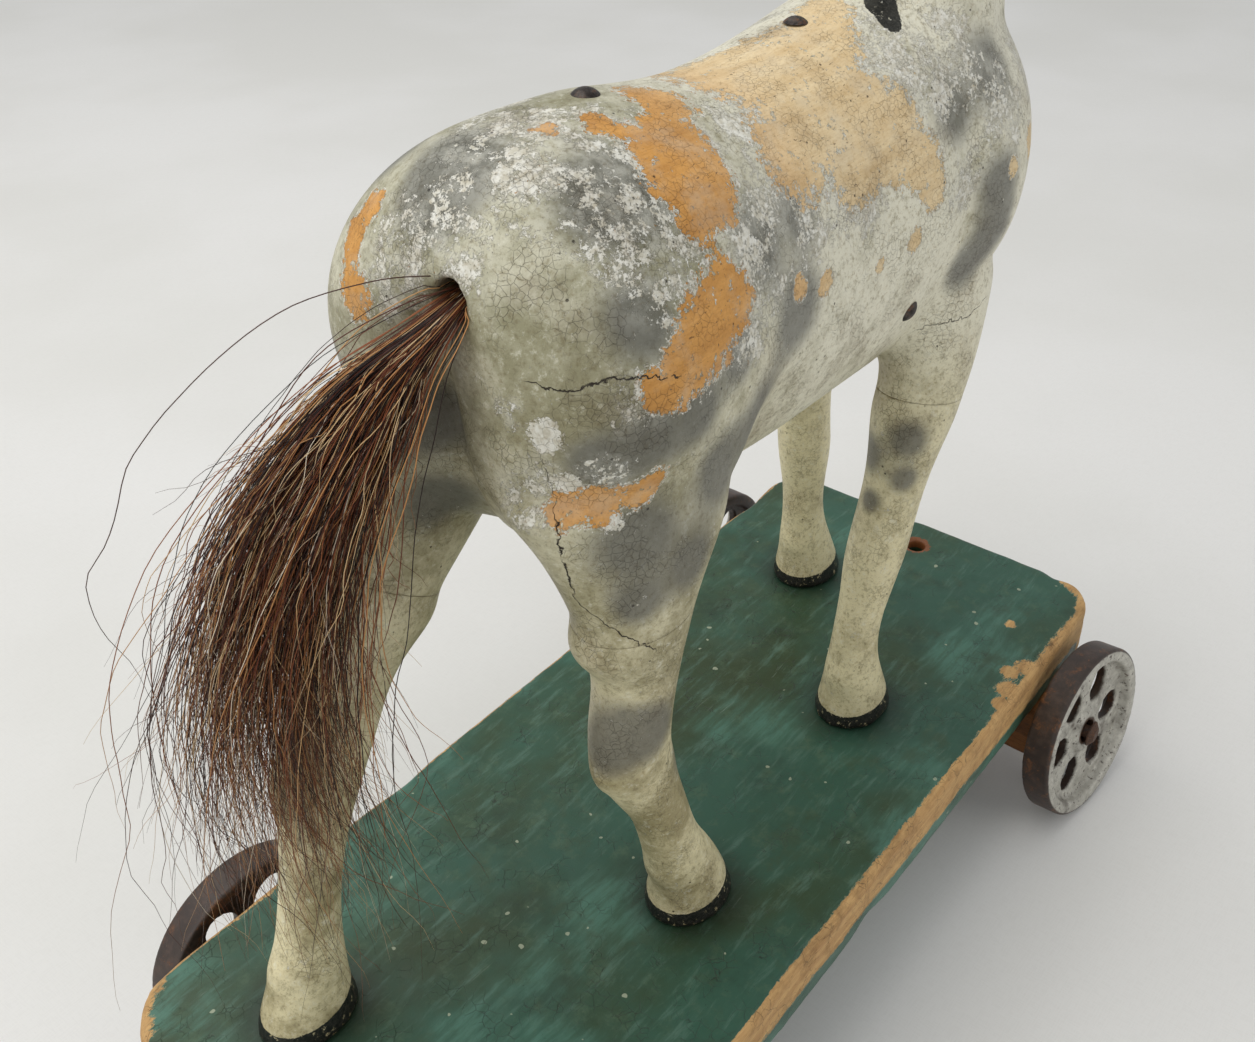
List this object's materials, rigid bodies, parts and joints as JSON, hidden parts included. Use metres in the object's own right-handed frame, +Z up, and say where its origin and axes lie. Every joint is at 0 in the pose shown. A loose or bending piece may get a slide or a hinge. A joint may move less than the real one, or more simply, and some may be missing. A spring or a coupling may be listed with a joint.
{
  "type": "pull along toy",
  "caption": "Carved and painted wooden horse with a hair tail, standing on a painted board that rolls on spoked cast wheels; a hole at the front takes the pull cord.",
  "frame": {"origin": "on the floor under the middle of the board", "axes": "+X the way the horse faces, +Y its left, +Z up"},
  "size_m": [0.3316, 0.1812, 0.3965],
  "materials": {
    "board_paint": "cloudy dark green paint, scuffed, worn to the wood along its edges",
    "horse_paint": "cream and grey dappled paint on a thin white ground, crazed and worn to the wood",
    "block_wood": "red-brown stained hardwood, dry and grimy",
    "peg_wood": "bare turned hardwood",
    "wheel_iron": "dark cast iron with worn grey paint on the faces",
    "axle_iron": "rusty iron",
    "nail_iron": "dark tarnished domed head",
    "ear_leather": "thin painted leather",
    "eye_glass": "dark brown glass",
    "tail_hair": "coarse dark horsehair with auburn and tan strands"
  },
  "bodies": {
    "platform": {"platform_board": "board_paint", "front_axle_block": "block_wood", "rear_axle_block": "block_wood", "front_axle": "axle_iron", "rear_axle": "axle_iron", "axle_washers": "axle_iron", "block_screws": "axle_iron", "horse_body": "horse_paint", "head_and_neck": "horse_paint", "ear_left": "ear_leather", "ear_right": "ear_leather", "eye_left": "eye_glass", "eye_right": "eye_glass", "front_left_leg": "horse_paint", "front_right_leg": "horse_paint", "rear_left_leg": "horse_paint", "rear_right_leg": "horse_paint", "leg_dowels": "peg_wood", "foot_dowels": "peg_wood", "neck_dowel": "peg_wood", "tail_plug": "peg_wood", "croup_nail": "nail_iron", "withers_nail": "nail_iron", "side_nail_left": "nail_iron", "side_nail_right": "nail_iron", "tail_hair": "tail_hair"},
    "wheel_front_left_body": {"wheel_front_left": "wheel_iron"},
    "wheel_front_right_body": {"wheel_front_right": "wheel_iron"},
    "wheel_rear_left_body": {"wheel_rear_left": "wheel_iron"},
    "wheel_rear_right_body": {"wheel_rear_right": "wheel_iron"}
  },
  "joints": [
    {"name": "wheel_front_left_spin", "type": "hinge", "parent": "platform", "child": "wheel_front_left_body", "pos_m": [0.1284, 0.08235, 0.032], "axis": [0, 1, 0], "continuous": true},
    {"name": "wheel_front_right_spin", "type": "hinge", "parent": "platform", "child": "wheel_front_right_body", "pos_m": [0.1284, -0.08235, 0.03241], "axis": [0.1035, 0.9848, -0.1392], "continuous": true},
    {"name": "wheel_rear_left_spin", "type": "hinge", "parent": "platform", "child": "wheel_rear_left_body", "pos_m": [-0.1153, 0.08235, 0.032], "axis": [0, 1, 0], "continuous": true},
    {"name": "wheel_rear_right_spin", "type": "hinge", "parent": "platform", "child": "wheel_rear_right_body", "pos_m": [-0.1153, -0.08235, 0.032], "axis": [0, 1, 0], "continuous": true}
  ]
}
